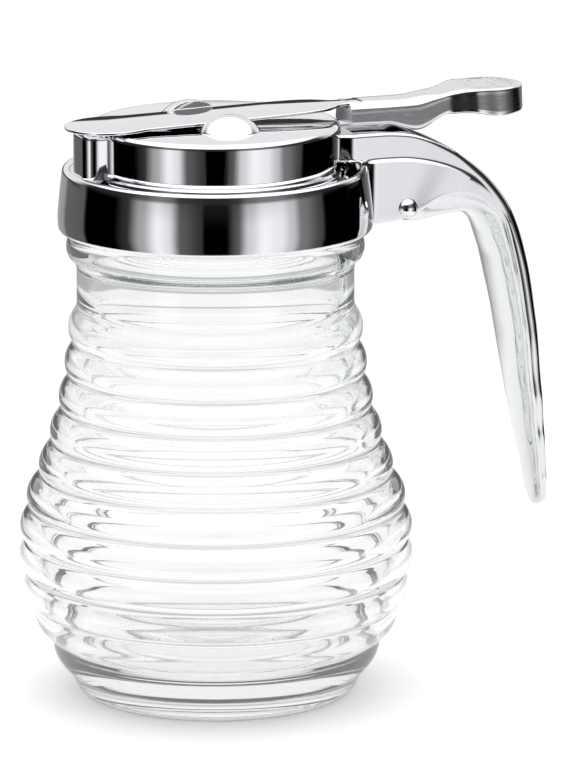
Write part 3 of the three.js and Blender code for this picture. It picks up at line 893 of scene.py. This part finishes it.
def tip_size(i):
    """How much the section shrinks at the round tip of the grip."""
    finish = max(0.0, (i / STATIONS - 0.972) / 0.028)
    return math.sqrt(max(0.0025, 1 - finish ** 2))


# %% Handle cross-section
def crown_points(strip, tall):
    """The gently arched top and its round edge."""
    broad = min(tall, strip * 0.4)
    half = []
    for k in range(6):
        y = (strip - broad) * k / 6
        half.append((0.5 * (y / strip) ** 2, y))
    lift = 0.5 * ((strip - broad) / strip) ** 2
    for k in range(10):
        a = math.pi / 2 * k / 9
        half.append((lift + tall * (1 - math.cos(a)), strip - broad + broad * math.sin(a)))
    return half


def side_points(low, step, deep, strip, cheek, lean):
    """The side: the strip, the hollow flare of the step, the cheek and its lower corner."""
    high = max(low + 0.05, step - 1.3)
    foot = max(step, high + 0.05)
    half = []
    for k in range(1, 4):
        half.append((low + (high - low) * k / 3, strip + lean * (cheek - strip) * k / 3))
    for k in range(1, 8):
        t = k / 7
        half.append((high + (foot - high) * t, strip + (cheek - strip) * (lean + (1 - lean) * t ** 2.6)))
    for k in range(1, 6):
        half.append((foot + (deep - 0.3 - foot) * k / 5, cheek))
    half += [(deep - 0.07, cheek - 0.08), (deep, cheek - 0.3)]
    half += [(deep - 0.18, cheek - 0.72), (deep - 0.15, cheek - 0.85)]
    return half


def handle_section(i):
    """Half of the section at one station: (depth, half width) from crown to belly."""
    deep = cheek_depth[i]
    step = min(step_depth[i], deep - 0.75)
    strip, cheek = half_widths(i)
    half = crown_points(strip, min(eased(round_keys, crown[i].x), max(0.5, step - 0.5)))
    half += side_points(half[-1][0], step, deep, strip, cheek, 0.75 * slant(crown[i]))
    belly, reach = belly_size(i, cheek)
    for k in range(13):
        a = math.pi / 2 * k / 12
        half.append((deep - 0.15 + (belly + 0.15) * math.sin(a), reach * math.cos(a)))
    shrink, middle = tip_size(i), deep / 2
    return [(middle + (q - middle) * (0.45 + 0.55 * shrink), y * shrink) for q, y in half]


# %% Handle skin
def handle_ring(i):
    """The whole section at one station, as points in space."""
    half = handle_section(i)
    whole = half + [(q, -y) for q, y in reversed(half[1:-1])]
    point, inward = crown[i], inwards[i]
    return [(point.x + inward.x * q, y, point.y + inward.y * q) for q, y in whole]


handle = skinned("grip_handle", [handle_ring(i) for i in range(STATIONS + 1)])
report(handle)

# %% [markdown]
# The handle's hollow
#
# The head is hollow from below, so two cheeks are left, and the pin goes across between them. The room
# between them is a solid of its own, drawn in the side view and extruded across, and cut away. Its back
# slants down to the pin, which leaves a web behind the rounded inner face. A second cut, turned about the
# jar's axis, fits the head to the collar and the pour top.

# %% Room between the cheeks
room_outline = [
    (22, 105), (22, 134.6), (36, 134.6), (44, 134.0), (50, 132.4), (54, 130.0), (56.5, 127), (56.5, 123.8),
    (47.2, 114.8), (45.8, 105),
]
bpy.ops.object.select_all(action="DESELECT")
bpy.ops.mesh.primitive_circle_add(vertices=len(room_outline), radius=0.01, fill_type="NGON")
hollow = bpy.context.object
for vert, (x, z) in zip(hollow.data.vertices, room_outline):
    vert.co = (x * MM, -ROOM_HALF * MM, z * MM)
bpy.ops.object.mode_set(mode="EDIT")
bpy.ops.mesh.select_all(action="SELECT")
bpy.ops.mesh.extrude_region_move(TRANSFORM_OT_translate={"value": (0, 2 * ROOM_HALF * MM, 0)})
bpy.ops.object.mode_set(mode="OBJECT")
clean(hollow)
report(hollow)
cut(handle, hollow, "DIFFERENCE")
report(handle)

# %% Fit against the collar and the lid
seat = [
    (0, 100), (37.6, 100), (37.6, 116), (36.9, 127.5), (36.2, 129.4), (30.1, 129.5), (30.1, 138.5), (29.5, 150),
    (0, 150),
]
cut(handle, turned("seat", seat, 160), "DIFFERENCE")
clean(handle)
smooth(handle, 38)
dress(handle, chrome_handle, "chrome", "body", "handle")

# %% [markdown]
# The pin
#
# A rivet with two domed heads goes through the cheeks. It is turned like the collar, then laid along Y.

# %% Pin
PIN_X, PIN_Z = 45.3, 117.7
PIN_R, HEAD_R, HEAD_HIGH = 1.5, 2.45, 1.85
HEAD_FOOT, HEAD_UNDER = 11.8, 11.5
head = []
for a in range(0, 91, 6):
    head.append((HEAD_R * math.sin(math.radians(a)), HEAD_FOOT + HEAD_HIGH * math.cos(math.radians(a))))
head += [(HEAD_R, HEAD_UNDER), (PIN_R, HEAD_UNDER)]
pin = turned("domed_rivet", head + [(r, -h) for r, h in reversed(head)], steps=48, sharp=40)
across = Matrix.Translation((PIN_X * MM, 0, PIN_Z * MM)) @ Matrix.Rotation(math.pi / 2, 4, "X")
pin.data.transform(across)
dress(pin, chrome, "chrome", "body", "handle_pin")

# %% [markdown]
# The floor
#
# The jar stands on a white table. The table is a disc whose edge fades away, so the chrome can mirror
# the studio beyond it and no hard edge shows behind the glass.
#
# A product photo's table is lit to pure white, but the soft shadow under the jar stays. So camera rays
# see a table that shines a little by itself. Rays that have gone through glass see it evenly white and
# hardly shaded, because the shadow that a renderer makes under thick glass is far too dark.

# %% Floor
FLOOR_R = 0.45
FLOOR_Z = -0.05 * MM
bpy.ops.object.select_all(action="DESELECT")
bpy.ops.mesh.primitive_circle_add(vertices=96, radius=FLOOR_R, fill_type="NGON", location=(0.02, 0, FLOOR_Z))
floor = named(bpy.context.object, "white_table")
print("floor radius in mm:", FLOOR_R / MM)

# %% Table top's own light
CAMERA_LIGHT = 0.25
GLASS_LIGHT = 0.84
GLASS_SHADE = 0.78
paper = bpy.data.materials.new("white_table_top")
paper.use_nodes = True
nodes, links = paper.node_tree.nodes, paper.node_tree.links
surface = nodes["Principled BSDF"]
surface.inputs["Roughness"].default_value = 0.9
surface.inputs["Specular IOR Level"].default_value = 0.1
surface.inputs["Emission Color"].default_value = (1, 1, 1, 1)
whiter = nodes.new("ShaderNodeLightPath")
lift = nodes.new("ShaderNodeMath")
lift.operation = "MULTIPLY"
lift.inputs[1].default_value = CAMERA_LIGHT
links.new(whiter.outputs["Is Camera Ray"], lift.inputs[0])
through_glass = nodes.new("ShaderNodeMath")
through_glass.operation = "MULTIPLY_ADD"
through_glass.inputs[1].default_value = GLASS_LIGHT
links.new(whiter.outputs["Is Transmission Ray"], through_glass.inputs[0])
links.new(lift.outputs[0], through_glass.inputs[2])
links.new(through_glass.outputs[0], surface.inputs["Emission Strength"])
print("table's own light:", CAMERA_LIGHT, "to the camera and", GLASS_LIGHT, "through glass")

# %% Table top's colour and fading edge
FADE_FROM, FADE_TO = 0.18, 0.34
place = nodes.new("ShaderNodeTexCoord")
grain = nodes.new("ShaderNodeTexNoise")
grain.inputs["Scale"].default_value = 900
links.new(place.outputs["Object"], grain.inputs["Vector"])
tone = nodes.new("ShaderNodeMapRange")
tone.inputs["To Min"].default_value = 0.93
tone.inputs["To Max"].default_value = 0.97
links.new(grain.outputs["Fac"], tone.inputs["Value"])
shade = nodes.new("ShaderNodeMath")
shade.operation = "MULTIPLY_ADD"
shade.inputs[1].default_value = -GLASS_SHADE
shade.inputs[2].default_value = 1.0
links.new(whiter.outputs["Is Transmission Ray"], shade.inputs[0])
paler = nodes.new("ShaderNodeMath")
paler.operation = "MULTIPLY"
links.new(tone.outputs["Result"], paler.inputs[0])
links.new(shade.outputs[0], paler.inputs[1])
links.new(paler.outputs[0], surface.inputs["Base Color"])
reach = nodes.new("ShaderNodeVectorMath")
reach.operation = "LENGTH"
links.new(place.outputs["Object"], reach.inputs[0])
fade = nodes.new("ShaderNodeMapRange")
fade.interpolation_type = "SMOOTHSTEP"
fade.inputs["From Min"].default_value = FADE_FROM
fade.inputs["From Max"].default_value = FADE_TO
fade.inputs["To Min"].default_value = 1.0
fade.inputs["To Max"].default_value = 0.0
links.new(reach.outputs["Value"], fade.inputs["Value"])
links.new(fade.outputs["Result"], surface.inputs["Alpha"])
floor.data.materials.append(paper)
print("table fades from", FADE_FROM / MM, "to", FADE_TO / MM, "mm")

# %% [markdown]
# Studio light
#
# Chrome shows nothing but the room around it, so the room is designed first. This one is the plain
# high-key studio of product photos: a white background, a large white ceiling, and around the sides
# white panels with black gaps between them. The panels give the upright metal its bright and dark
# bands. It is painted on the World by direction: the azimuth is counted from the camera's side, and the
# rise is the sine of the height above the horizon. The camera itself sees pure white behind the object.

# %% Studio directions
scene = bpy.context.scene
scene.view_settings.view_transform = "Standard"
world = bpy.data.worlds.new("studio")
scene.world = world
world.use_nodes = True
nodes, links = world.node_tree.nodes, world.node_tree.links
nodes.clear()
out = nodes.new("ShaderNodeOutputWorld")
direction = nodes.new("ShaderNodeTexCoord")
turn = nodes.new("ShaderNodeMapping")
turn.vector_type = "TEXTURE"
turn.inputs["Rotation"].default_value = (0, 0, CAMERA_TURN - math.pi / 2)
links.new(direction.outputs["Generated"], turn.inputs["Vector"])
parts = nodes.new("ShaderNodeSeparateXYZ")
links.new(turn.outputs["Vector"], parts.inputs[0])


def maths(how, *values, clamp=False):
    """A Math node fed with sockets or numbers."""
    node = nodes.new("ShaderNodeMath")
    node.operation = how
    node.use_clamp = clamp
    for k, value in enumerate(values):
        if isinstance(value, (int, float)):
            node.inputs[k].default_value = value
        else:
            links.new(value, node.inputs[k])
    return node.outputs[0]


# The azimuth runs from 0 to 1 over -180 to 180 degrees.
turned_by = maths("ARCTAN2", parts.outputs["Y"], parts.outputs["X"])
azimuth = maths("ADD", maths("DIVIDE", turned_by, 2 * math.pi), 0.5)
rise = parts.outputs["Z"]
print("nodes that find the direction:", len(nodes))

# %% Studio panels
PANELS = [
    (-180, 0.42), (-150, 0.34), (-140, 0.13), (-114, 0.11), (-109, 0.0), (-80, 0.0), (-68, 0.03), (-55, 0.42),
    (-42, 1.0), (-35, 0.85), (-25, 0.11), (-10, 0.04), (-8, 0.0), (8, 0.0), (16, 0.1), (25, 0.7), (36, 1.02),
    (48, 0.92), (58, 0.6), (66, 0.2), (84, 0.06), (88, 0.0), (131, 0.0), (138, 0.2), (158, 0.2), (180, 0.42),
]


def ramp(value, stops):
    """Colour ramp over the azimuth, with stops given as (degrees, grey)."""
    node = nodes.new("ShaderNodeValToRGB")
    node.color_ramp.interpolation = "EASE"
    elements = node.color_ramp.elements
    while len(elements) < len(stops):
        elements.new(0.5)
    for element, (degrees, grey) in zip(elements, stops):
        element.position = (degrees + 180) / 360
        element.color = (grey, grey, grey * 1.01, 1)
    links.new(value, node.inputs["Fac"])
    return node.outputs["Color"]


panels = ramp(azimuth, PANELS)
print("studio panels:", len(PANELS), "stops")


# %% Helpers for masks
def blend(amount, low, high):
    """Mix two greys or colours by an amount from 0 to 1."""
    node = nodes.new("ShaderNodeMix")
    node.data_type = "RGBA"
    links.new(amount, node.inputs["Factor"])
    for socket, value in ((node.inputs["A"], low), (node.inputs["B"], high)):
        if isinstance(value, (int, float)):
            socket.default_value = (value, value, value, 1)
        else:
            links.new(value, socket)
    return node.outputs["Result"]


def mask(value, low, high):
    """0 below low, 1 above high."""
    node = nodes.new("ShaderNodeMapRange")
    node.interpolation_type = "SMOOTHSTEP"
    links.new(value, node.inputs["Value"])
    node.inputs["From Min"].default_value = low
    node.inputs["From Max"].default_value = high
    return node.outputs["Result"]


# %% [markdown]
# Walls, ceiling and table in the mirror
#
# Behind the camera's view the room has a pale wall with a thin dark skyline, which the lid mirrors. Above
# the panels the walls are dim, the ceiling is very bright, and below there is the pale table.

# %% Studio heights
behind = mask(maths("MULTIPLY", parts.outputs["X"], -1.0), 0.35, 0.75)
skyline = maths("SUBTRACT", 1.0, mask(maths("ABSOLUTE", rise), 0.05, 0.09), clamp=True)
back_wall = blend(skyline, 0.86, 0.04)
upper_walls = nodes.new("ShaderNodeMix")
upper_walls.data_type = "RGBA"
upper_walls.inputs["Factor"].default_value = 0.18
upper_walls.inputs["A"].default_value = (0.03, 0.03, 0.03, 1)
links.new(panels, upper_walls.inputs["B"])
above_panels = blend(behind, upper_walls.outputs["Result"], back_wall)
low_sides = blend(maths("MULTIPLY", behind, skyline), panels, 0.04)
sides = blend(mask(rise, -0.02, 0.09), low_sides, above_panels)
CEILING, TABLE = 1.7, 0.9
room = blend(mask(rise, 0.52, 0.72), sides, CEILING)
room = blend(mask(maths("MULTIPLY", rise, -1.0), 0.42, 0.60), room, TABLE)
print("world nodes for the metal's room:", len(nodes))

# %% [markdown]
# What is seen through the glass
#
# Photographers stand dark cards at both sides of clear glass, because a rim is only seen where it bends
# the eye to something darker. Rays that have gone through glass get such a room of their own: white all
# round, a grey card at each side, and a grey band at the horizon that draws the seams between the rings.

# %% Cards for the glass
GLASS_CARDS = [
    (-180, 1.0), (-100, 1.0), (-84, 0.35), (-62, 0.35), (-48, 1.0), (48, 1.0), (62, 0.35), (84, 0.35), (100, 1.0),
    (180, 1.0),
]
SEAM_GREY, GLASS_TOP = 0.55, 0.98
low_edge = mask(rise, -0.08, -0.02)
high_edge = maths("SUBTRACT", 1.0, mask(rise, 0.16, 0.3), clamp=True)
seam_band = blend(maths("MULTIPLY", low_edge, high_edge), ramp(azimuth, GLASS_CARDS), SEAM_GREY)
glass_room = blend(mask(rise, 0.3, 0.6), seam_band, GLASS_TOP)
print("glass cards:", len(GLASS_CARDS), "stops")

# %% Which ray sees which room
WHITE = 1.05
rays = nodes.new("ShaderNodeLightPath")
seen = nodes.new("ShaderNodeMix")
seen.data_type = "RGBA"
links.new(rays.outputs["Is Transmission Ray"], seen.inputs["Factor"])
links.new(room, seen.inputs["A"])
links.new(glass_room, seen.inputs["B"])
final = nodes.new("ShaderNodeMix")
final.data_type = "RGBA"
links.new(rays.outputs["Is Camera Ray"], final.inputs["Factor"])
links.new(seen.outputs["Result"], final.inputs["A"])
final.inputs["B"].default_value = (WHITE, WHITE, WHITE, 1)
shine = nodes.new("ShaderNodeBackground")
links.new(final.outputs["Result"], shine.inputs["Color"])
links.new(shine.outputs["Background"], out.inputs["Surface"])
print("world nodes:", len(nodes))
